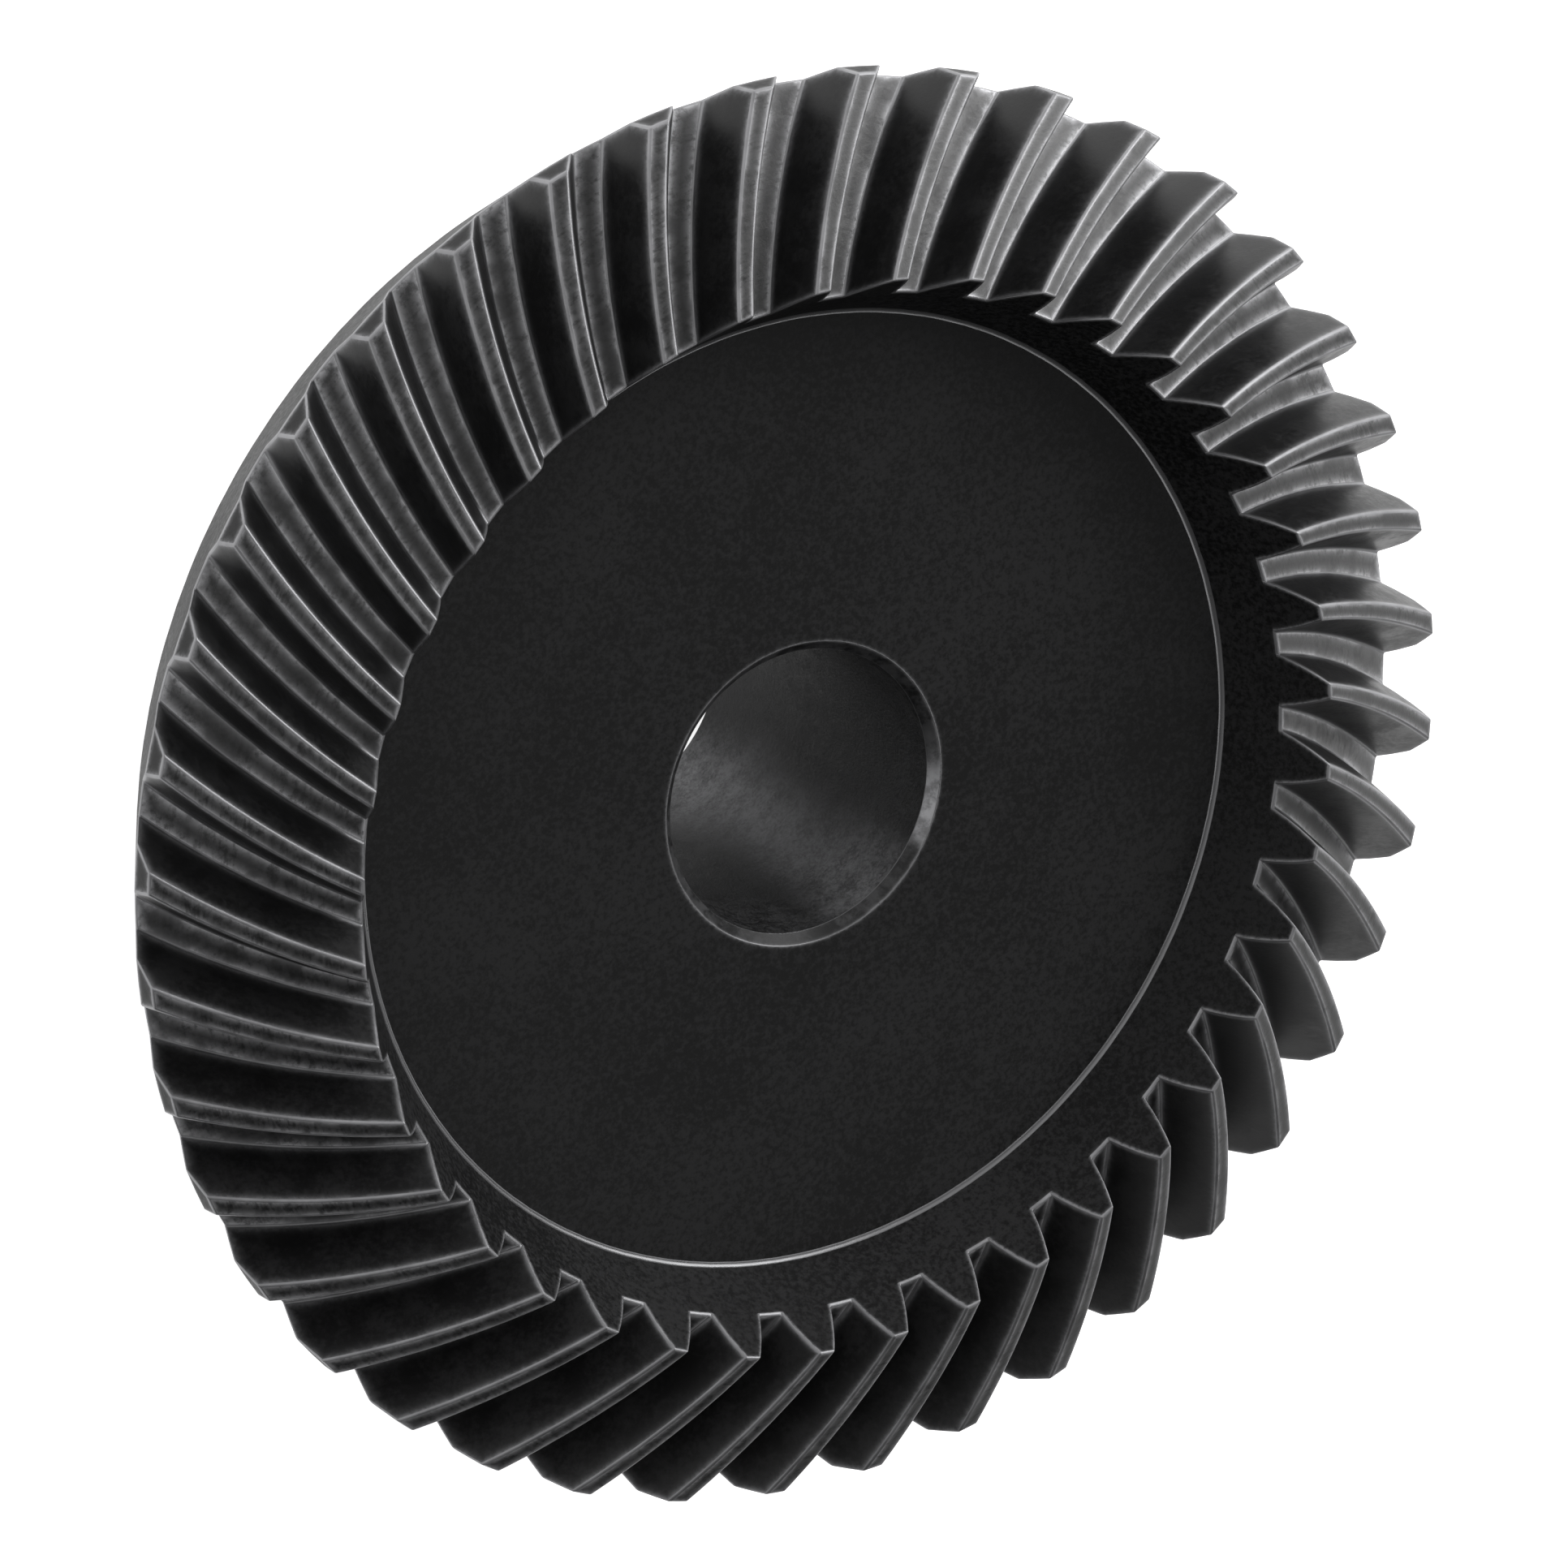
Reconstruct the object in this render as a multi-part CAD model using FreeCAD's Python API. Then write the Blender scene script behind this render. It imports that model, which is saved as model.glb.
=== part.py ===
import FreeCAD, Part
import math
import os

# Spiral bevel gear, right-hand spiral, in one piece of steel. All sizes are in millimetres.
# The origin is the centre of the back face. +Z is the bore axis, towards the toothed front.
# The middle of one tooth's large end is on +X.

# Gear pair
MODULE = 2.5                # transverse module at the large end (the heel)
TEETH = 40
MATE_TEETH = 20             # the pinion that this gear runs with, on a shaft at 90 degrees
MOUNTING_DISTANCE = 55.0    # from the back face to the apex of the pitch cone

# Teeth. Heights are square to the pitch cone.
FACE_WIDTH = 14.65
TIP_HEIGHT = 1.6            # tip above the pitch cone at the heel
TIP_TAPER = math.radians(2.25)      # the tip cone comes down to the pitch cone by this much towards the toe
ROOT_DEPTH = 2.85           # root below the pitch cone, the same from heel to toe
TIP_LAND_ANGLE = math.radians(1.74)     # width of a tooth at its tip, seen from the gear's axis
ROOT_LAND_ANGLE = math.radians(6.22)    # width of a tooth at its root
TIP_SWEEP = math.radians(9.48)      # turn of a tooth's tip from heel to toe
ROOT_SWEEP = math.radians(9.83)     # turn of a tooth's root from heel to toe
FLANK_BULGE = 0.1           # how far the middle of a flank stands out of the straight line from root to tip

# Blank
OUTSIDE_RADIUS = 49.9       # turned short of the sharp tip corner
FACE_HEIGHT = 29.75         # recessed front face above the back face
RIM_HEIGHT = 18.75          # underside of the toothed rim above the back face
HUB_RADIUS = 30.0
HUB_CHAMFER = 1.0
HUB_FILLET = 2.0            # between the hub and the underside of the rim
BORE_RADIUS = 10.0
BORE_CHAMFER = 0.7

# Tooth space cutter
OVERRUN = 1.5               # how far the cutter runs past the heel, the toe and the tip
STATIONS = 7                # cross-sections along the cutter

PITCH_ANGLE = math.atan2(TEETH, MATE_TEETH)
TOOTH_PITCH = 2 * math.pi / TEETH
HEEL = MODULE * TEETH / 2 / math.sin(PITCH_ANGLE)   # cone distance of the teeth's large end
TOE = HEEL - FACE_WIDTH                             # cone distance of the teeth's small end


def on_section(distance, height):
    """Radius and Z of a point, from its distance along the pitch cone and its height square to it."""
    radius = distance * math.sin(PITCH_ANGLE) + height * math.cos(PITCH_ANGLE)
    z = MOUNTING_DISTANCE - distance * math.cos(PITCH_ANGLE) + height * math.sin(PITCH_ANGLE)
    return radius, z


def tip_height(distance):
    return TIP_HEIGHT - (HEEL - distance) * math.tan(TIP_TAPER)


def on_end_cone(distance, z):
    """Radius and Z where the cone square to the pitch cone at a distance reaches a given Z."""
    radius, pitch_z = on_section(distance, 0)
    return radius + (z - pitch_z) / math.tan(PITCH_ANGLE), z


def tip_corner():
    """Radius and Z where the tip cone meets the outside diameter."""
    toe_radius, toe_z = on_section(TOE, tip_height(TOE))
    heel_radius, heel_z = on_section(HEEL, tip_height(HEEL))
    part = (OUTSIDE_RADIUS - toe_radius) / (heel_radius - toe_radius)
    return OUTSIDE_RADIUS, toe_z + part * (heel_z - toe_z)


def rim_cylinder_foot():
    """Radius and Z where the outside diameter meets the back cone."""
    radius, pitch_z = on_section(HEEL, 0)
    return OUTSIDE_RADIUS, pitch_z + (OUTSIDE_RADIUS - radius) * math.tan(PITCH_ANGLE)


def hub_fillet_edge():
    """The quarter round between the hub and the underside of the rim, from the rim to the hub."""
    centre_radius = HUB_RADIUS + HUB_FILLET
    centre_z = RIM_HEIGHT - HUB_FILLET
    diagonal = HUB_FILLET * math.sqrt(0.5)
    start = FreeCAD.Vector(centre_radius, 0, RIM_HEIGHT)
    middle = FreeCAD.Vector(centre_radius - diagonal, 0, centre_z + diagonal)
    end = FreeCAD.Vector(HUB_RADIUS, 0, centre_z)
    return Part.Arc(start, middle, end).toShape()


def line_edges(points):
    """Straight edges through a list of (radius, Z) points."""
    corners = [FreeCAD.Vector(radius, 0, z) for radius, z in points]
    return [Part.makeLine(start, end) for start, end in zip(corners, corners[1:])]


def gear_blank():
    """The turned blank, bore and chamfers included, before the teeth are cut."""
    rim_to_front = [
        (HUB_RADIUS, RIM_HEIGHT - HUB_FILLET),
        (HUB_RADIUS, HUB_CHAMFER),
        (HUB_RADIUS - HUB_CHAMFER, 0),
        (BORE_RADIUS + BORE_CHAMFER, 0),
        (BORE_RADIUS, BORE_CHAMFER),
        (BORE_RADIUS, FACE_HEIGHT - BORE_CHAMFER),
        (BORE_RADIUS + BORE_CHAMFER, FACE_HEIGHT),
        on_end_cone(TOE, FACE_HEIGHT),
        on_section(TOE, tip_height(TOE)),
        tip_corner(),
        rim_cylinder_foot(),
        on_end_cone(HEEL, RIM_HEIGHT),
        (HUB_RADIUS + HUB_FILLET, RIM_HEIGHT),
    ]
    outline = Part.Wire([hub_fillet_edge()] + line_edges(rim_to_front))
    return Part.Face(outline).revolve(FreeCAD.Vector(0, 0, 0), FreeCAD.Vector(0, 0, 1), 360)


def space_section(distance):
    """Closed wire of the space between two teeth, square to the pitch cone at a cone distance."""
    to_toe = (HEEL - distance) / FACE_WIDTH
    root_radius, root_z = on_section(distance, -ROOT_DEPTH)
    tip_radius, tip_z = on_section(distance, tip_height(distance))
    root_half = root_radius * math.sin((TOOTH_PITCH - ROOT_LAND_ANGLE) / 2)
    tip_half = tip_radius * math.sin((TOOTH_PITCH - TIP_LAND_ANGLE) / 2)
    centre_angle = TOOTH_PITCH / 2 + ROOT_SWEEP * to_toe
    lean = tip_radius * (TIP_SWEEP - ROOT_SWEEP) * to_toe
    depth = ROOT_DEPTH + tip_height(distance)
    top = (depth + OVERRUN) / depth

    centre = FreeCAD.Vector(root_radius * math.cos(centre_angle), root_radius * math.sin(centre_angle), root_z)
    across = FreeCAD.Vector(-math.sin(centre_angle), math.cos(centre_angle), 0)
    up = FreeCAD.Vector(
        math.cos(PITCH_ANGLE) * math.cos(centre_angle),
        math.cos(PITCH_ANGLE) * math.sin(centre_angle),
        math.sin(PITCH_ANGLE),
    )

    def flank(side):
        """Root, middle and top of one flank. The top is past the tip, on the same line."""
        root = centre + across * (side * root_half)
        tip = centre + across * (lean + side * tip_half) + up * depth
        middle = (root + tip) * 0.5 - across * (side * FLANK_BULGE)
        over_tip = root + (tip - root) * top
        return root, middle, over_tip

    left_root, left_middle, left_top = flank(-1)
    right_root, right_middle, right_top = flank(1)
    return Part.Wire([
        Part.makeLine(left_root, right_root),
        Part.Arc(right_root, right_middle, right_top).toShape(),
        Part.makeLine(right_top, left_top),
        Part.Arc(left_top, left_middle, left_root).toShape(),
    ])


def tooth_space_cutters():
    """One lofted cutter, repeated once for each space between teeth."""
    start = TOE - OVERRUN
    step = (FACE_WIDTH + 2 * OVERRUN) / (STATIONS - 1)
    sections = [space_section(start + number * step) for number in range(STATIONS)]
    cutter = Part.makeLoft(sections, True)
    cutters = []
    for number in range(TEETH):
        copy = cutter.copy()
        copy.rotate(FreeCAD.Vector(0, 0, 0), FreeCAD.Vector(0, 0, 1), math.degrees(number * TOOTH_PITCH))
        cutters.append(copy)
    return cutters


def spiral_bevel_gear():
    gear = gear_blank().cut(tooth_space_cutters())
    return gear.Solids[0]


os.makedirs("parts", exist_ok=True)
gear = spiral_bevel_gear()
gear.exportStep("parts/spiral_bevel_gear.step")
points, _ = gear.tessellate(0.02)
print("valid", gear.isValid(), "solids", len(gear.Solids), "faces", len(gear.Faces))
print("size", [round(max(values) - min(values), 2) for values in zip(*points)])
print("volume in cubic centimetres", round(gear.Volume / 1000, 2))
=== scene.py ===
import math

import bmesh
import bpy
from mathutils import Matrix, Vector


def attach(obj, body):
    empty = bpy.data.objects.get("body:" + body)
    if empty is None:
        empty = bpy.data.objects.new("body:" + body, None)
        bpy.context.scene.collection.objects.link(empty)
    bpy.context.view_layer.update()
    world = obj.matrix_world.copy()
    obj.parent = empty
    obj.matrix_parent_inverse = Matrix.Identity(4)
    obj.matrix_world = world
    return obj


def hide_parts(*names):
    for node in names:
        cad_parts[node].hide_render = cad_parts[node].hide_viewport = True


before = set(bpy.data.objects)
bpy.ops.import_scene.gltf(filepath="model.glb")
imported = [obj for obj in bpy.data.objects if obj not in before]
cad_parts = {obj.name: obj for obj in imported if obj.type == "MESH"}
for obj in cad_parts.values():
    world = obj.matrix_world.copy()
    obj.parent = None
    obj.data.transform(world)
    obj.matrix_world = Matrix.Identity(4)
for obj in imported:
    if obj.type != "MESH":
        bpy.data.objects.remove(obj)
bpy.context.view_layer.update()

# ---------------------------------------------------------------------------
# Sizes. The gear's own sizes are in millimetres, in the frame of its CAD part:
# origin at the centre of the back face, +Z along the bore towards the teeth.
# ---------------------------------------------------------------------------
MM = 0.001

MODULE = 2.5
TEETH = 40
MATE_TEETH = 20
MOUNTING_DISTANCE = 55.0
FACE_WIDTH = 14.65
TIP_HEIGHT = 1.6
TIP_TAPER = math.radians(2.25)
ROOT_DEPTH = 2.85
TIP_LAND_ANGLE = math.radians(1.74)
ROOT_LAND_ANGLE = math.radians(6.22)
TIP_SWEEP = math.radians(9.48)
ROOT_SWEEP = math.radians(9.83)
FLANK_BULGE = 0.1
OUTSIDE_RADIUS = 49.9
FACE_HEIGHT = 29.75
RIM_HEIGHT = 18.75
HUB_RADIUS = 30.0
HUB_CHAMFER = 1.0
HUB_FILLET = 2.0
BORE_RADIUS = 10.0
BORE_CHAMFER = 0.7

EDGE_ROUND = 0.15           # broken edges of the teeth and rim
FACE_EDGE_SHARE = 1.6       # times that rounding, on the recessed face's edge
BORE_EDGE_SHARE = 0.25      # and on the edges of the bore's chamfers
ROUND_STEPS = 3             # faces across a rounded edge
SHARP_ANGLE = math.radians(18)      # any edge that turns by more than this is rounded
FLANK_ROWS = 20             # mesh rows from toe to heel
FLANK_LEVELS = (0.0, 0.25, 0.5)     # mesh levels up a flank, below the foot of the turned outside diameter
FILLET_STEPS = 6
CONE_ROWS = (0, 0.12, 0.3, 0.6, 0.88, 1)        # mesh rows down the cones at the ends of the teeth
WELD_DISTANCE = 0.002
ON_FACE = 0.01              # a point this near the recessed face's height is on it
TOE_START = ROOT_SWEEP      # angle of the tooth's foot at the toe
TIPS, ROOTS, FLANKS, TURNED, BORE, MOUTH, WORN_AND_HIGHLIGHT = range(7)       # material slots

EDGE_DISTANCE = "edge_distance"     # mesh attribute that the worn, painted-highlight borders follow
FULL = 0.0                  # an edge whose wear and painted highlight start at full strength
FAINT = 2.2                 # an edge whose wear and painted highlight start as if this far from it
ALL_EDGES = {"sides": FULL, "first": FULL, "last": FULL}
END_FACE_EDGES = {"sides": FULL, "last": FULL}
BAND_EDGES = {"first": FULL, "last": FULL}
FAR = 20.0                  # a border that isn't an edge at all

# How far the wear and painted edge highlight fade in from an edge, in millimetres at the toe and at the heel
TIP_WEAR_AND_HIGHLIGHT = (0.1, 0.17)
ROOT_WEAR_AND_HIGHLIGHT = (0.16, 0.36)
FLANK_WEAR_AND_HIGHLIGHT = (0.09, 0.2)
HEEL_WEAR_AND_HIGHLIGHT = (0.14, 0.14)
TURNED_WEAR_AND_HIGHLIGHT = (0.06, 0.06)

PITCH_ANGLE = math.atan2(TEETH, MATE_TEETH)
SIN_PITCH = math.sin(PITCH_ANGLE)
COS_PITCH = math.cos(PITCH_ANGLE)
TOOTH_PITCH = 2 * math.pi / TEETH
HEEL = MODULE * TEETH / 2 / SIN_PITCH
TOE = HEEL - FACE_WIDTH


# ---------------------------------------------------------------------------
# Gear geometry
# ---------------------------------------------------------------------------
def on_section(distance, height):
    """Radius and Z of a point, from its distance along the pitch cone and its height square to it."""
    radius = distance * SIN_PITCH + height * COS_PITCH
    z = MOUNTING_DISTANCE - distance * COS_PITCH + height * SIN_PITCH
    return radius, z


def tip_height(distance):
    return TIP_HEIGHT - (HEEL - distance) * math.tan(TIP_TAPER)


def on_end_cone(distance, z):
    """Radius and Z where the cone square to the pitch cone at a distance reaches a given Z."""
    radius, pitch_z = on_section(distance, 0)
    return radius + (z - pitch_z) / math.tan(PITCH_ANGLE), z


def level_height(distance, level):
    """Height above the pitch cone of a level up the tooth: 0 at the root and 1 at the tip."""
    return -ROOT_DEPTH + level * (ROOT_DEPTH + tip_height(distance))


def turned_level():
    """Level at the heel where the turned outside diameter begins."""
    radius, _ = on_section(HEEL, 0)
    height = (OUTSIDE_RADIUS - radius) / COS_PITCH
    return (height + ROOT_DEPTH) / (ROOT_DEPTH + TIP_HEIGHT)


def heel_distance(level):
    """Cone distance where a level reaches the heel: the back cone or the turned outside diameter."""
    slope = math.tan(TIP_TAPER)
    fixed = COS_PITCH * (-ROOT_DEPTH + level * (ROOT_DEPTH + TIP_HEIGHT - HEEL * slope))
    return min(HEEL, (OUTSIDE_RADIUS - fixed) / (SIN_PITCH + level * slope * COS_PITCH))


def tooth_point(distance, level, across):
    """Point on or in the tooth centred on +X: across is -1 on one flank and 1 on the other."""
    to_toe = (HEEL - distance) / FACE_WIDTH
    radius, z = on_section(distance, level_height(distance, level))
    sweep = ROOT_SWEEP + (TIP_SWEEP - ROOT_SWEEP) * level
    land = ROOT_LAND_ANGLE + (TIP_LAND_ANGLE - ROOT_LAND_ANGLE) * level
    bulge = 4 * level * (1 - level) * FLANK_BULGE / radius
    angle = sweep * to_toe + across * (land / 2 + bulge)
    return Vector((radius * math.cos(angle), radius * math.sin(angle), z))


def ring_point(radius, z, angle):
    return Vector((radius * math.cos(angle), radius * math.sin(angle), z))


class Builder:
    """Collects faces by their corner points, and notes how far each corner is from the edges around it."""

    def __init__(self):
        self.mesh = bmesh.new()
        self.edge_distance = self.mesh.loops.layers.float_vector.new(EDGE_DISTANCE)

    def grid(self, rows, material, edges=ALL_EDGES, reach=TURNED_WEAR_AND_HIGHLIGHT):
        """Faces between rows of points. Every row has the same number of points.

        edges names the borders of the grid that are edges of the gear, with how faint their wear and painted
        edge highlight are.
        "corners" stands for edges that lead away from both ends of the first row. reach says how far
        the wear and painted edge highlight fade in from an edge, at the first and last row. The distances
        kept for the materials are from the rounding of the left edge, the right edge and the nearer end, and
        1 is that reach."""
        points = [[self.mesh.verts.new(point) for point in row] for row in rows]
        along = [run_lengths(row) for row in rows]
        across = [run_lengths(column) for column in zip(*rows)]

        def distances(row, column):
            left = along[row][column]
            right = along[row][-1] - left
            first = across[column][row]
            last = across[column][-1] - first
            if "corners" in edges:
                left = math.hypot(left, first)
                right = math.hypot(right, first)
            fade = reach[0] + (reach[1] - reach[0]) * row / (len(rows) - 1)
            side = edges.get("corners", edges.get("sides", FAR))
            return Vector((
                (left - EDGE_ROUND) / fade + side,
                (right - EDGE_ROUND) / fade + side,
                min(
                    (first - EDGE_ROUND) / fade + edges.get("first", FAR),
                    (last - EDGE_ROUND) / fade + edges.get("last", FAR),
                ),
            ))

        for row in range(len(rows) - 1):
            for column in range(len(rows[0]) - 1):
                corners = ((row, column), (row, column + 1), (row + 1, column + 1), (row + 1, column))
                face = self.mesh.faces.new([points[r][c] for r, c in corners])
                face.material_index = material
                for loop, corner in zip(face.loops, corners):
                    loop[self.edge_distance] = distances(*corner)


def run_lengths(points):
    """Length of a line of points up to each point."""
    lengths = [0.0]
    for start, end in zip(points, points[1:]):
        lengths.append(lengths[-1] + (end - start).length)
    return lengths


def tooth_grids(builder):
    """One tooth centred on +X and the bottom of the space after it."""
    rows = [row / FLANK_ROWS for row in range(FLANK_ROWS + 1)]
    foot = turned_level()
    low_levels = FLANK_LEVELS + (foot,)
    high_levels = (foot, (1 + foot) / 2, 1.0)
    levels = FLANK_LEVELS + high_levels
    columns = (-1, 0, 1)

    def at(level, row, across):
        return tooth_point(TOE + (heel_distance(level) - TOE) * row, level, across)

    tip = [[at(1, row, across) for across in columns] for row in rows]
    builder.grid(tip, TIPS, reach=TIP_WEAR_AND_HIGHLIGHT)
    for side in (-1, 1):
        flank = [[at(level, row, side) for level in levels] for row in rows]
        builder.grid(flank, FLANKS, reach=FLANK_WEAR_AND_HIGHLIGHT)
    next_tooth = Matrix.Rotation(TOOTH_PITCH, 3, "Z")
    root = []
    for row in rows:
        left = at(0, row, 1)
        right = next_tooth @ at(0, row, -1)
        angle = (math.atan2(left.y, left.x) + math.atan2(right.y, right.x)) / 2
        root.append([left, ring_point(math.hypot(left.x, left.y), left.z, angle), right])
    builder.grid(root, ROOTS, reach=ROOT_WEAR_AND_HIGHLIGHT)
    toe_end = [[at(level, 0, across) for across in columns] for level in levels]
    builder.grid(toe_end, TURNED, END_FACE_EDGES)
    heel_end = [[at(level, 1, across) for across in columns] for level in low_levels]
    builder.grid(heel_end, TURNED, END_FACE_EDGES, HEEL_WEAR_AND_HIGHLIGHT)
    turned_end = [[at(level, 1, across) for across in columns] for level in high_levels]
    builder.grid(turned_end, TURNED, ALL_EDGES, HEEL_WEAR_AND_HIGHLIGHT)


def end_cone_grids(builder, distance, z, start, last):
    """Cone from the bottom of the tooth spaces at one end of the teeth to its turned edge at a height z.

    last says how faint the wear and painted edge highlight of that turned edge are. Under a tooth the cone
    runs on into the tooth's end face, so there it has edges only at the corners."""
    top = on_section(distance, -ROOT_DEPTH)
    edge = on_end_cone(distance, z)
    outline = [between(top, edge, part) for part in CONE_ROWS]
    angles = ring_angles(start)
    for columns, first in ((angles[:3], "corners"), (angles[2:], "first")):
        edges = {first: FULL, "last": last}
        builder.grid([[ring_point(*place, angle) for angle in columns] for place in outline], TURNED, edges)


def between(start, end, part):
    return tuple(a + (b - a) * part for a, b in zip(start, end))


def ring_angles(start):
    """Angles of the mesh columns across one tooth and the space after it, from the tooth's centre."""
    half = ROOT_LAND_ANGLE / 2
    return [start - half, start, start + half, start + TOOTH_PITCH / 2, start + TOOTH_PITCH - half]


def ring_grid(builder, outline, material, edges=BAND_EDGES, end_start=0.0):
    """Turned surface through (radius, Z) points, one tooth pitch wide, with an extra ring half-way."""
    middle = [between(a, b, 0.5) for a, b in zip(outline, outline[1:])]
    places = [place for pair in zip(outline, middle) for place in pair] + [outline[-1]]
    toe_start = ring_angles(TOE_START)
    last = ring_angles(TOE_START + end_start)
    rows = [[ring_point(*place, angle) for angle in toe_start] for place in places[:-1]]
    rows.append([ring_point(*places[-1], angle) for angle in last])
    builder.grid(rows, material, edges)


def body_grids(builder):
    """Recessed face, bore, back, hub and the underside of the rim."""
    bore_edge = BORE_RADIUS + BORE_CHAMFER
    hub_edge = HUB_RADIUS - HUB_CHAMFER
    front_lip = (BORE_RADIUS, FACE_HEIGHT - BORE_CHAMFER)
    back_lip = (BORE_RADIUS, BORE_CHAMFER)
    face = [on_end_cone(TOE, FACE_HEIGHT), (bore_edge, FACE_HEIGHT)]
    ring_grid(builder, face, TURNED, {"first": FAINT, "last": FAINT})
    ring_grid(builder, [(bore_edge, FACE_HEIGHT), front_lip], MOUTH, {"first": FAINT})
    ring_grid(builder, [front_lip, back_lip], BORE, {})
    ring_grid(builder, [back_lip, (bore_edge, 0.0)], MOUTH, {"last": FAINT})
    ring_grid(builder, [(bore_edge, 0.0), (hub_edge, 0.0)], TURNED, {"first": FAINT, "last": FULL})
    ring_grid(builder, [(hub_edge, 0.0), (HUB_RADIUS, HUB_CHAMFER)], TURNED)
    fillet = []
    for step in range(FILLET_STEPS + 1):
        turn = math.pi / 2 * step / FILLET_STEPS
        fillet.append((
            HUB_RADIUS + HUB_FILLET * (1 - math.cos(turn)),
            RIM_HEIGHT - HUB_FILLET * (1 - math.sin(turn)),
        ))
    underside = [(HUB_RADIUS, HUB_CHAMFER)] + fillet + [on_end_cone(HEEL, RIM_HEIGHT)]
    ring_grid(builder, underside, TURNED, end_start=-TOE_START)


def tooth_and_space(builder):
    tooth_grids(builder)
    end_cone_grids(builder, TOE, FACE_HEIGHT, TOE_START, FAINT)
    end_cone_grids(builder, HEEL, RIM_HEIGHT, 0.0, FULL)
    body_grids(builder)


def mark_edges(mesh):
    """Give each sharp edge its share of the full rounding."""
    rounding = mesh.edges.layers.float.new("bevel_weight_edge")
    for edge in mesh.edges:
        if edge.calc_face_angle(0.0) > SHARP_ANGLE:
            radius = min(math.hypot(vert.co.x, vert.co.y) for vert in edge.verts)
            flat = all(abs(vert.co.z - FACE_HEIGHT) < ON_FACE for vert in edge.verts)
            if radius < BORE_RADIUS + 2 * BORE_CHAMFER:
                edge[rounding] = BORE_EDGE_SHARE
            else:
                edge[rounding] = FACE_EDGE_SHARE if flat else 1.0


def gear_mesh():
    builder = Builder()
    tooth_and_space(builder)
    mesh = builder.mesh
    sector = list(mesh.verts) + list(mesh.edges) + list(mesh.faces)
    for number in range(1, TEETH):
        copy = bmesh.ops.duplicate(mesh, geom=sector)
        verts = [item for item in copy["geom"] if isinstance(item, bmesh.types.BMVert)]
        turn = Matrix.Rotation(number * TOOTH_PITCH, 3, "Z")
        bmesh.ops.rotate(mesh, verts=verts, cent=(0, 0, 0), matrix=turn)
    bmesh.ops.remove_doubles(mesh, verts=mesh.verts, dist=WELD_DISTANCE)
    bmesh.ops.recalc_face_normals(mesh, faces=mesh.faces)
    mark_edges(mesh)
    bmesh.ops.scale(mesh, vec=(MM, MM, MM), verts=mesh.verts)
    data = bpy.data.meshes.new("gear")
    for face in mesh.faces:
        face.smooth = True
    mesh.to_mesh(data)
    mesh.free()
    return data


# ---------------------------------------------------------------------------
# Materials. Noise scales are in cycles per metre, and greys are linear.
# ---------------------------------------------------------------------------
FINE_GRAIN = 2600           # grain of the turned faces and flanks
LAND_GRAIN = 2800           # and of the tooth tips and roots
GRAIN_DETAIL = {"detail": 3.0, "roughness": 0.7}
MARKS_SCALE = (0.1, 0.1, 0.7)       # tool marks, drawn out across a land: scale of its edge distances

BLACK_TURNED = (0.0045, 0.019)      # darkest and lightest grey of each blacked finish
BLACK_FLANK = (0.008, 0.016)
BLACK_LAND = (0.004, 0.026)
BLACK_BORE = (0.002, 0.042)
BLACK_MOUTH = (0.01, 0.045)
BORE_REFLECTION_GREYS = (0.05, 0.24)          # and of the painted reflections on the bore and its chamfers
MOUTH_REFLECTION_GREYS = (0.22, 0.5)
WORN_AND_HIGHLIGHT_LEVEL = 0.26           # grey of the steel where the black has rubbed off, lightened further as a painted edge highlight
# tips, roots and chamfers get lighter borders still: wear plus painted edge highlight
TIP_WORN_AND_HIGHLIGHT_LEVEL = WORN_AND_HIGHLIGHT_LEVEL * 1.3
ROOT_WORN_AND_HIGHLIGHT_LEVEL = WORN_AND_HIGHLIGHT_LEVEL * 2.2
MOUTH_WORN_AND_HIGHLIGHT_LEVEL = WORN_AND_HIGHLIGHT_LEVEL * 1.3
WORN_METALLIC = 0.6
LAND_METALLIC = 0.45
# metallic of the painted reflection bands
REFLECTION_BAND_METALLIC = 0.5

POLISHED_AND_HIGHLIGHT_LEVEL = 0.16       # grey of the edges that are polished but still black, lightened as a painted highlight
POLISHED_METALLIC = 0.62
STEEL_METALLIC = 0.85
STEEL_ROUGHENING = 0.15     # how much rougher the edges rubbed to steel are
POLISHED_RADIUS = 34.2      # inside this, edges are polished and not rubbed through
POLISHED_FADE = 0.1

BORE_REFLECTION_ANGLE = math.radians(114)      # the bore has a painted reflection along this line
BORE_REFLECTION_HALF = 0.55        # radians
MOUTH_REFLECTION_ANGLE = math.radians(155)     # and the painted reflection on its chamfers is around this one
MOUTH_REFLECTION_HALF = 0.45


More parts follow.
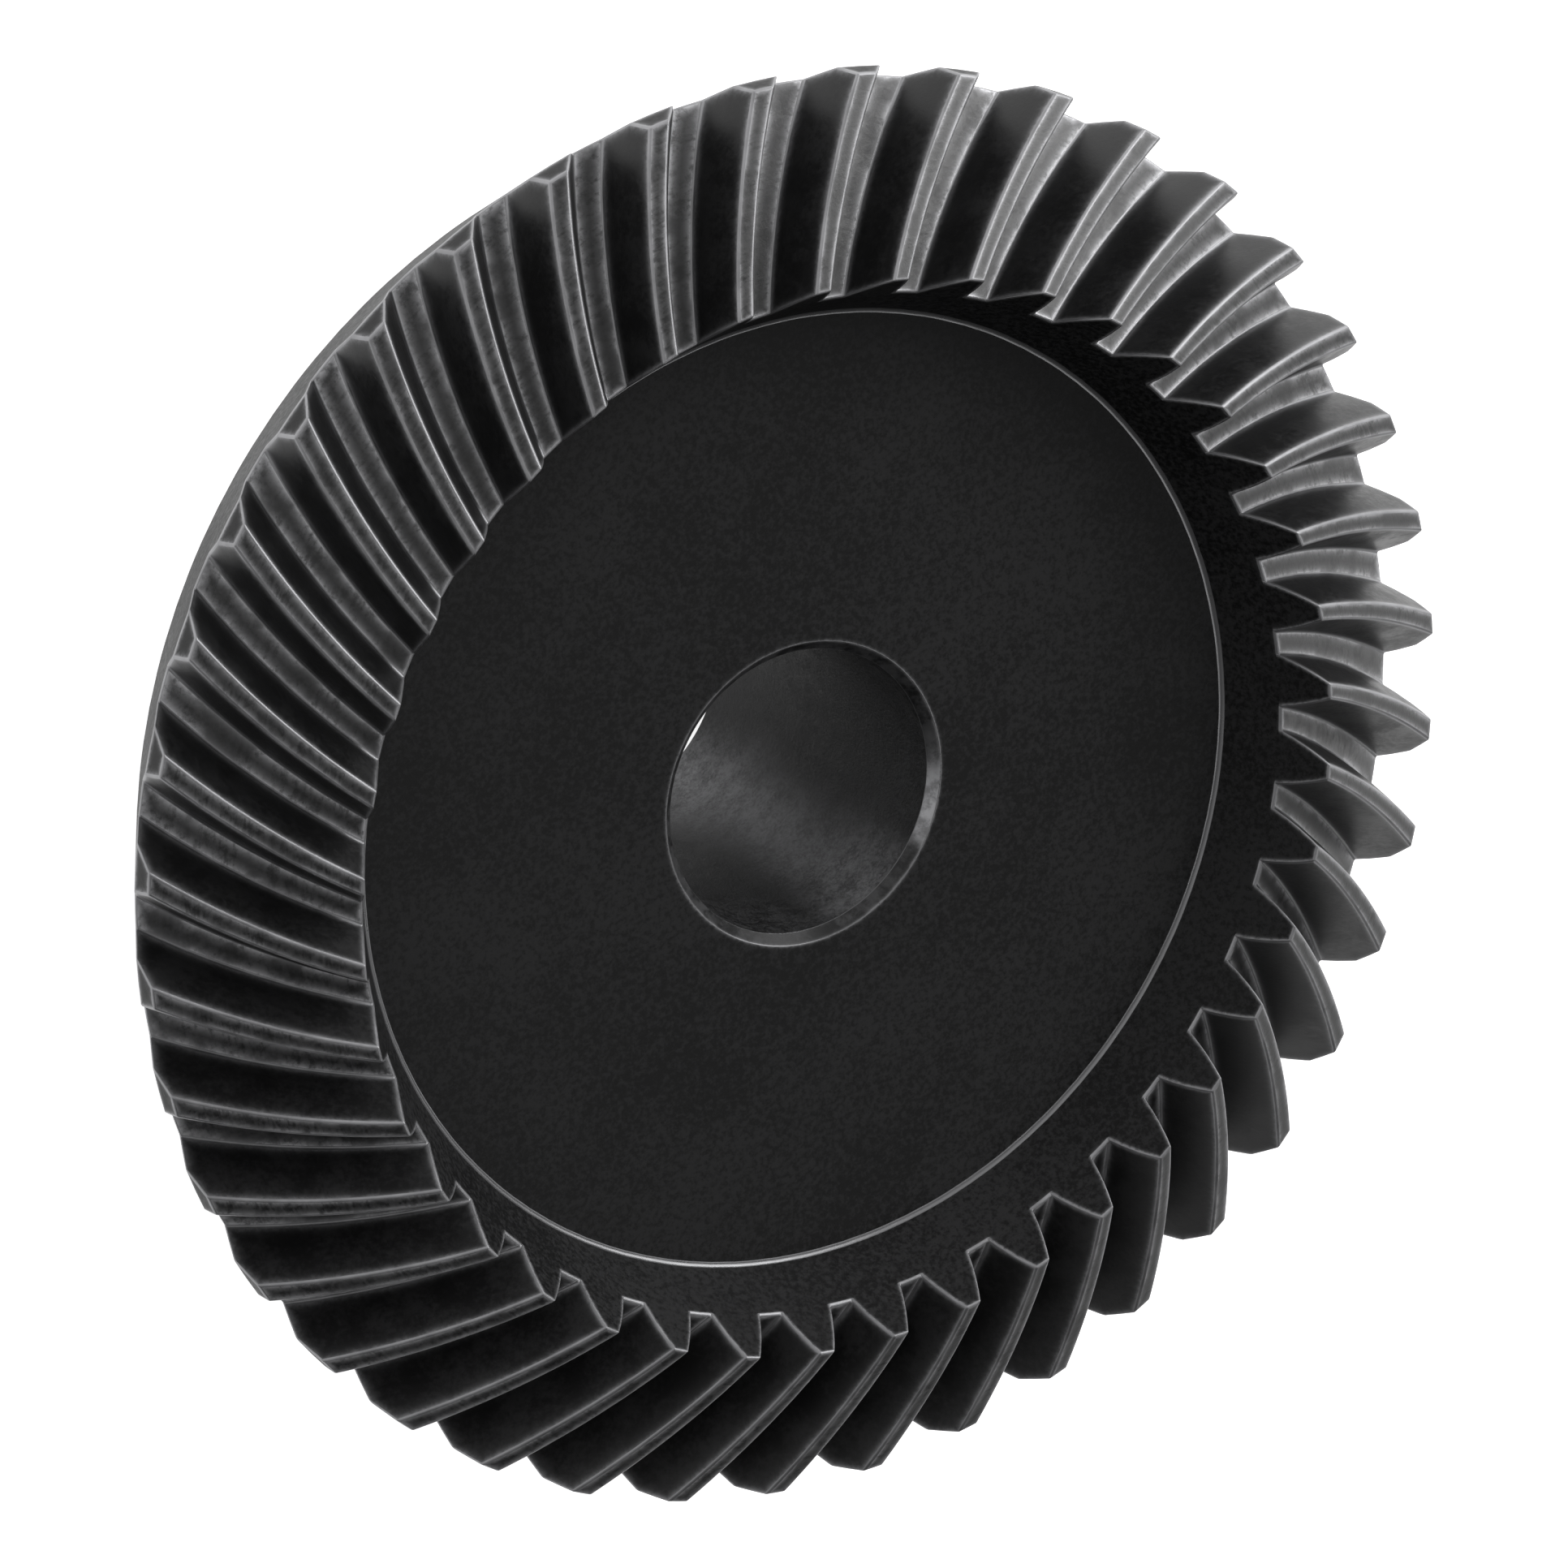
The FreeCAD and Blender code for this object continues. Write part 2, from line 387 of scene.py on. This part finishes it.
class Nodes:
    """Short calls for building one material's node tree."""

    def __init__(self, name):
        self.material = bpy.data.materials.new(name)
        self.material.use_nodes = True
        self.tree = self.material.node_tree
        self.shader = self.tree.nodes["Principled BSDF"]

    def add(self, kind, inputs=None, **settings):
        node = self.tree.nodes.new(kind)
        for key, value in settings.items():
            setattr(node, key, value)
        for key, value in (inputs or {}).items():
            self.feed(node.inputs[key], value)
        return node

    def feed(self, socket, value):
        """Link an output, or set a constant."""
        if isinstance(value, bpy.types.NodeSocket):
            self.tree.links.new(value, socket)
        else:
            socket.default_value = value

    def place(self):
        return self.add("ShaderNodeTexCoord").outputs["Object"]

    def edge_distance(self):
        return self.add("ShaderNodeAttribute", attribute_name=EDGE_DISTANCE).outputs["Vector"]

    def mapped(self, vector, **mapping):
        return self.add("ShaderNodeMapping", {"Vector": vector, **mapping}).outputs["Vector"]

    def parts(self, vector):
        """X, Y and Z of a vector."""
        return self.add("ShaderNodeSeparateXYZ", {"Vector": vector}).outputs

    def noise(self, scale, detail=4.0, roughness=0.55, vector=None):
        inputs = {"Vector": vector or self.place(), "Scale": scale, "Detail": detail, "Roughness": roughness}
        return self.add("ShaderNodeTexNoise", inputs).outputs["Fac"]

    def math(self, operation, first, second=0.0):
        node = self.add("ShaderNodeMath", operation=operation)
        self.feed(node.inputs[0], first)
        self.feed(node.inputs[1], second)
        return node.outputs[0]

    def weighted(self, *shares):
        """Sum of values, each times its weight."""
        scaled = [self.math("MULTIPLY", value, weight) for value, weight in shares]
        total = scaled[0]
        for value in scaled[1:]:
            total = self.math("ADD", total, value)
        return total

    def ramp(self, value, span, outputs=(0.0, 1.0)):
        """Remap a value smoothly from one span to another."""
        inputs = {
            "Value": value,
            "From Min": span[0],
            "From Max": span[1],
            "To Min": outputs[0],
            "To Max": outputs[1],
        }
        return self.add("ShaderNodeMapRange", inputs, interpolation_type="SMOOTHSTEP").outputs["Result"]

    def blend(self, factor, first, second):
        """Mix two colours."""
        node = self.add("ShaderNodeMix", data_type="RGBA")
        self.feed(node.inputs["Factor"], factor)
        self.feed(node.inputs["A"], first)
        self.feed(node.inputs["B"], second)
        return node.outputs["Result"]

    def shade(self, tone, span, levels):
        """Grey that goes from one level to the other as the tone crosses a span."""
        return self.blend(self.ramp(tone, span), grey(levels[0]), grey(levels[1]))

    def bump(self, height, distance):
        """Fine relief of a depth in millimetres."""
        inputs = {"Height": height, "Distance": distance * MM, "Strength": 1.0}
        self.feed(self.shader.inputs["Normal"], self.add("ShaderNodeBump", inputs).outputs["Normal"])

    def surface(self, **values):
        """Set the shader's inputs, each named in lower case with underscores."""
        for key, value in values.items():
            self.feed(self.shader.inputs[key.replace("_", " ").title().replace("Ior", "IOR")], value)


def grey(level):
    """A very slightly cool grey."""
    return (level, level, level * 1.03, 1)


def wear_and_highlight_mask(nodes, uneven):
    """1 at an edge, fading to 0 over the reach that the mesh gives. It marks wear and a painted edge
    highlight together.
    """
    side = nodes.parts(nodes.edge_distance())
    distance = nodes.math("MINIMUM", nodes.math("MINIMUM", side["X"], side["Y"]), side["Z"])
    inside = nodes.math("MAXIMUM", distance, 0.0)
    fade = nodes.math("EXPONENT", nodes.math("MULTIPLY", inside, -1.0))
    return nodes.math("MULTIPLY", fade, uneven)


def painted_reflection_band(nodes, angle, half, drift):
    """1 along a line on the bore at an angle about its axis, fading to 0 at half a width away, unevenly: a
    painted reflection band.
    """
    side = nodes.parts(nodes.mapped(nodes.place(), Rotation=(0, 0, -angle)))
    off = nodes.math("ARCTAN2", side["Y"], side["X"])
    off = nodes.math("ADD", off, nodes.math("MULTIPLY", nodes.math("SUBTRACT", drift, 0.5), half))
    return nodes.ramp(nodes.math("ABSOLUTE", off), (0.0, half), (1.0, 0.0))


def turned_material():
    """Faces turned on a lathe, then blacked: almost black, with a very fine grain."""
    nodes = Nodes("blacked_turned_face")
    grain = nodes.noise(FINE_GRAIN, **GRAIN_DETAIL)
    cloud = nodes.noise(90, detail=6.0)
    tone = nodes.weighted((grain, 0.7), (cloud, 0.3))
    dark = nodes.shade(tone, (0.40, 0.60), BLACK_TURNED)
    # lighter border along the edges: wear plus painted edge highlight
    wear_and_highlight = wear_and_highlight_mask(nodes, nodes.ramp(grain, (0.35, 0.6), (0.45, 1.0)))
    nodes.surface(
        base_color=nodes.blend(wear_and_highlight, dark, grey(WORN_AND_HIGHLIGHT_LEVEL)),
        metallic=nodes.math("MULTIPLY", wear_and_highlight, WORN_METALLIC),
        roughness=nodes.ramp(tone, (0.38, 0.62), (0.44, 0.62)),
        specular_ior_level=0.17,
    )
    nodes.bump(grain, 0.012)
    return nodes.material


def flank_material():
    """Cut tooth flanks, blacked: the darkest finish, with lighter smudges."""
    nodes = Nodes("blacked_flank")
    grain = nodes.noise(FINE_GRAIN, **GRAIN_DETAIL)
    smudge = nodes.noise(330, detail=7.0, roughness=0.65)
    tone = nodes.weighted((grain, 0.4), (smudge, 0.6))
    dark = nodes.shade(tone, (0.42, 0.62), BLACK_FLANK)
    # lighter border along the edges: wear plus painted edge highlight
    wear_and_highlight = wear_and_highlight_mask(nodes, nodes.ramp(tone, (0.38, 0.6), (0.45, 1.0)))
    nodes.surface(
        base_color=nodes.blend(wear_and_highlight, dark, grey(WORN_AND_HIGHLIGHT_LEVEL)),
        metallic=nodes.math("MULTIPLY", wear_and_highlight, WORN_METALLIC),
        roughness=nodes.ramp(tone, (0.4, 0.62), (0.36, 0.48)),
        specular_ior_level=0.25,
    )
    nodes.bump(grain, 0.01)
    return nodes.material


def land_material(name, worn_and_highlight):
    """Tooth tips or roots, blacked, lighter towards their borders from wear and a painted edge highlight,
    with fine tool marks across.
    """
    nodes = Nodes(name)
    mottle = nodes.noise(800, detail=7.0, roughness=0.7)
    grain = nodes.noise(LAND_GRAIN, **GRAIN_DETAIL)
    marks = nodes.noise(1.0, detail=3.0, vector=nodes.mapped(nodes.edge_distance(), Scale=MARKS_SCALE))
    stain = nodes.noise(260, detail=7.0, roughness=0.6)
    tone = nodes.weighted((mottle, 0.45), (grain, 0.3), (marks, 0.25))
    dark = nodes.shade(tone, (0.41, 0.59), BLACK_LAND)
    # lighter border along the edges: wear plus painted edge highlight
    wear_and_highlight = wear_and_highlight_mask(nodes, nodes.ramp(nodes.math("MINIMUM", tone, stain), (0.38, 0.54), (0.35, 1.15)))
    nodes.surface(
        base_color=nodes.blend(wear_and_highlight, dark, grey(worn_and_highlight)),
        metallic=nodes.math("MULTIPLY", wear_and_highlight, LAND_METALLIC),
        roughness=nodes.ramp(tone, (0.38, 0.62), (0.30, 0.48)),
        specular_ior_level=0.6,
    )
    nodes.bump(nodes.math("ADD", grain, nodes.math("MULTIPLY", marks, 0.5)), 0.012)
    return nodes.material


def bore_material():
    """Bored wall, thinly blacked and crazed, with one long painted reflection band."""
    nodes = Nodes("blacked_bore")
    patches = nodes.noise(700, detail=8.0, roughness=0.75)
    craze = nodes.noise(3400, detail=5.0, roughness=0.8)
    tone = nodes.weighted((patches, 0.5), (craze, 0.5))
    # painted reflection band along the bore wall
    band = painted_reflection_band(nodes, BORE_REFLECTION_ANGLE, BORE_REFLECTION_HALF, nodes.noise(110))
    dark = nodes.shade(tone, (0.40, 0.60), BLACK_BORE)
    light = nodes.shade(tone, (0.38, 0.62), BORE_REFLECTION_GREYS)
    nodes.surface(
        base_color=nodes.blend(band, dark, light),
        metallic=nodes.math("MULTIPLY", band, REFLECTION_BAND_METALLIC),
        roughness=nodes.ramp(tone, (0.38, 0.62), (0.34, 0.6)),
        specular_ior_level=0.14,
    )
    nodes.bump(tone, 0.09)
    return nodes.material


def mouth_material():
    """Chamfers at the ends of the bore: thinly blacked and streaky, with a painted reflection on one side.
    """
    nodes = Nodes("blacked_bore_chamfer")
    streak = nodes.noise(700, detail=6.0, roughness=0.7)
    # painted reflection on one side of the chamfers
    band = painted_reflection_band(nodes, MOUTH_REFLECTION_ANGLE, MOUTH_REFLECTION_HALF, nodes.noise(300, detail=3.0))
    dark = nodes.shade(streak, (0.38, 0.62), BLACK_MOUTH)
    light = nodes.shade(streak, (0.38, 0.62), MOUTH_REFLECTION_GREYS)
    # lighter border along the edges: wear plus painted edge highlight
    wear_and_highlight = wear_and_highlight_mask(nodes, nodes.ramp(streak, (0.38, 0.62), (0.4, 1.0)))
    nodes.surface(
        base_color=nodes.blend(wear_and_highlight, nodes.blend(band, dark, light), grey(MOUTH_WORN_AND_HIGHLIGHT_LEVEL)),
        metallic=nodes.math("MULTIPLY", band, REFLECTION_BAND_METALLIC),
        roughness=nodes.ramp(streak, (0.38, 0.62), (0.34, 0.5)),
        specular_ior_level=0.22,
    )
    nodes.bump(streak, 0.01)
    return nodes.material


def edge_material():
    """Rounded edges, lighter than the faces beside them as wear plus a painted edge highlight: rubbed
    through to steel on the teeth and rim, and polished at the face and bore.
    """
    nodes = Nodes("worn_and_highlighted_edge")
    rub = nodes.noise(400, detail=6.0)
    side = nodes.parts(nodes.place())
    squared = nodes.math("ADD", nodes.math("POWER", side["X"], 2.0), nodes.math("POWER", side["Y"], 2.0))
    limits = (POLISHED_RADIUS * MM, (POLISHED_RADIUS + POLISHED_FADE) * MM)
    rubbed = nodes.ramp(nodes.math("SQRT", squared), limits)
    # steel grey of the rubbed edges, also a painted edge highlight
    steel_and_highlight = nodes.shade(rub, (0.3, 0.7), (WORN_AND_HIGHLIGHT_LEVEL * 0.8, WORN_AND_HIGHLIGHT_LEVEL * 1.2))
    polish = nodes.ramp(rub, (0.3, 0.7), (0.25, 0.35))
    nodes.surface(
        base_color=nodes.blend(rubbed, grey(POLISHED_AND_HIGHLIGHT_LEVEL), steel_and_highlight),
        metallic=nodes.ramp(rubbed, (0.0, 1.0), (POLISHED_METALLIC, STEEL_METALLIC)),
        roughness=nodes.math("ADD", polish, nodes.math("MULTIPLY", rubbed, STEEL_ROUGHENING)),
        specular_ior_level=1.0,
    )
    return nodes.material


def build_gear():
    gear = bpy.data.objects.new("black_oxide_gear", gear_mesh())
    bpy.context.scene.collection.objects.link(gear)
    rounding = gear.modifiers.new("rounded_edges", "BEVEL")
    rounding.width = EDGE_ROUND * MM
    rounding.segments = ROUND_STEPS
    rounding.limit_method = "WEIGHT"
    rounding.harden_normals = True
    rounding.use_clamp_overlap = False
    # the rounded edges take the worn finish that also paints in an edge highlight
    rounding.material = WORN_AND_HIGHLIGHT
    for material in (
        land_material("blacked_tip", TIP_WORN_AND_HIGHLIGHT_LEVEL),
        land_material("blacked_root", ROOT_WORN_AND_HIGHLIGHT_LEVEL),
        flank_material(),
        turned_material(),
        bore_material(),
        mouth_material(),
        edge_material(),
    ):
        gear.data.materials.append(material)
    return gear


# ---------------------------------------------------------------------------
# Camera
# ---------------------------------------------------------------------------
CAMERA_AIM = (1.340, -1.388, FACE_HEIGHT)       # millimetres
CAMERA_AZIMUTH = math.radians(311.749)
CAMERA_ELEVATION = math.radians(54.352)
CAMERA_ROLL = math.radians(119.516)
CAMERA_DISTANCE = 518.66
CAMERA_LENS = 177.845
CAMERA_SENSOR = 36
NEAREST = 0.01              # metres
FARTHEST = 10


def add_camera():
    outward = Vector((
        math.cos(CAMERA_ELEVATION) * math.cos(CAMERA_AZIMUTH),
        math.cos(CAMERA_ELEVATION) * math.sin(CAMERA_AZIMUTH),
        math.sin(CAMERA_ELEVATION),
    ))
    level_right = Vector((0, 0, 1)).cross(outward).normalized()
    level_up = outward.cross(level_right)
    right = level_right * math.cos(CAMERA_ROLL) + level_up * math.sin(CAMERA_ROLL)
    up = outward.cross(right)
    data = bpy.data.cameras.new("camera")
    data.lens = CAMERA_LENS
    data.sensor_width = CAMERA_SENSOR
    data.clip_start = NEAREST
    data.clip_end = FARTHEST
    camera = bpy.data.objects.new("camera", data)
    bpy.context.scene.collection.objects.link(camera)
    place = Matrix((right, up, outward)).transposed().to_4x4()
    place.translation = (Vector(CAMERA_AIM) + outward * CAMERA_DISTANCE) * MM
    camera.matrix_world = place
    bpy.context.scene.camera = camera
    return camera


# ---------------------------------------------------------------------------
# Studio
# ---------------------------------------------------------------------------
FLOOR_HALF_SIZE = 1.5
FLOOR_GAP = 0.05 * MM       # keeps the floor clear of the gear's back face
FLOOR_LEVEL = 0.7
FLOOR_GLOW = 0.9            # the floor is a light table, so that it stays white around the gear
SOFTBOX_DISTANCE = 0.6
BRIGHT_WALL_AZIMUTH = math.radians(295)     # the studio is lighter on this side
BRIGHT_WALL = 1.05
DARK_WALL = 0.05
DARK_WALL_COSINE = -0.2     # of the angle from the bright side, where the dark side begins


def add_floor():
    data = bpy.data.meshes.new("floor")
    mesh = bmesh.new()
    bmesh.ops.create_grid(mesh, x_segments=1, y_segments=1, size=FLOOR_HALF_SIZE)
    mesh.to_mesh(data)
    mesh.free()
    floor = bpy.data.objects.new("floor", data)
    bpy.context.scene.collection.objects.link(floor)
    floor.location.z = -FLOOR_GAP
    nodes = Nodes("floor")
    nodes.surface(base_color=(FLOOR_LEVEL, FLOOR_LEVEL, FLOOR_LEVEL, 1), roughness=0.6)
    nodes.surface(emission_color=(1, 1, 1, 1), emission_strength=FLOOR_GLOW)
    floor.data.materials.append(nodes.material)
    return floor


def add_softbox(name, azimuth, elevation, width, height, radiance):
    """Rectangular light aimed at the middle of the gear. Angles are in degrees and sizes in metres."""
    azimuth = math.radians(azimuth)
    elevation = math.radians(elevation)
    outward = Vector((
        math.cos(elevation) * math.cos(azimuth),
        math.cos(elevation) * math.sin(azimuth),
        math.sin(elevation),
    ))
    data = bpy.data.lights.new(name, "AREA")
    data.shape = "RECTANGLE"
    data.size = width
    data.size_y = height
    data.energy = radiance * math.pi * width * height
    light = bpy.data.objects.new(name, data)
    bpy.context.scene.collection.objects.link(light)
    light.visible_camera = False
    light.rotation_mode = "QUATERNION"
    light.rotation_quaternion = outward.to_track_quat("Z", "Y")
    light.location = Vector((0, 0, FACE_HEIGHT * MM)) + outward * SOFTBOX_DISTANCE
    return light


def add_world():
    world = bpy.data.worlds.new("studio")
    world.use_nodes = True
    nodes = world.node_tree.nodes
    links = world.node_tree.links
    background = nodes["Background"]
    background.inputs["Color"].default_value = (1, 1, 1, 1)
    direction = nodes.new("ShaderNodeTexCoord")
    facing = nodes.new("ShaderNodeVectorMath")
    facing.operation = "DOT_PRODUCT"
    facing.inputs[1].default_value = (math.cos(BRIGHT_WALL_AZIMUTH), math.sin(BRIGHT_WALL_AZIMUTH), 0)
    links.new(direction.outputs["Generated"], facing.inputs[0])
    level = nodes.new("ShaderNodeMapRange")
    level.interpolation_type = "SMOOTHSTEP"
    level.inputs["From Min"].default_value = DARK_WALL_COSINE
    level.inputs["To Min"].default_value = DARK_WALL
    level.inputs["To Max"].default_value = BRIGHT_WALL
    links.new(facing.outputs["Value"], level.inputs["Value"])
    links.new(level.outputs["Result"], background.inputs["Strength"])
    bpy.context.scene.world = world


gear = build_gear()
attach(gear, "root")
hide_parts("spiral_bevel_gear")
floor = add_floor()
add_world()
add_softbox("key", azimuth=202, elevation=31, width=0.40, height=0.36, radiance=4.6)
add_softbox("low", azimuth=216, elevation=12, width=0.36, height=0.28, radiance=2.6)
add_softbox("side", azimuth=160, elevation=12, width=0.40, height=0.28, radiance=0.9)
add_softbox("top", azimuth=120, elevation=60, width=0.36, height=0.28, radiance=1.5)
add_camera()
bpy.context.scene.view_settings.view_transform = "Standard"
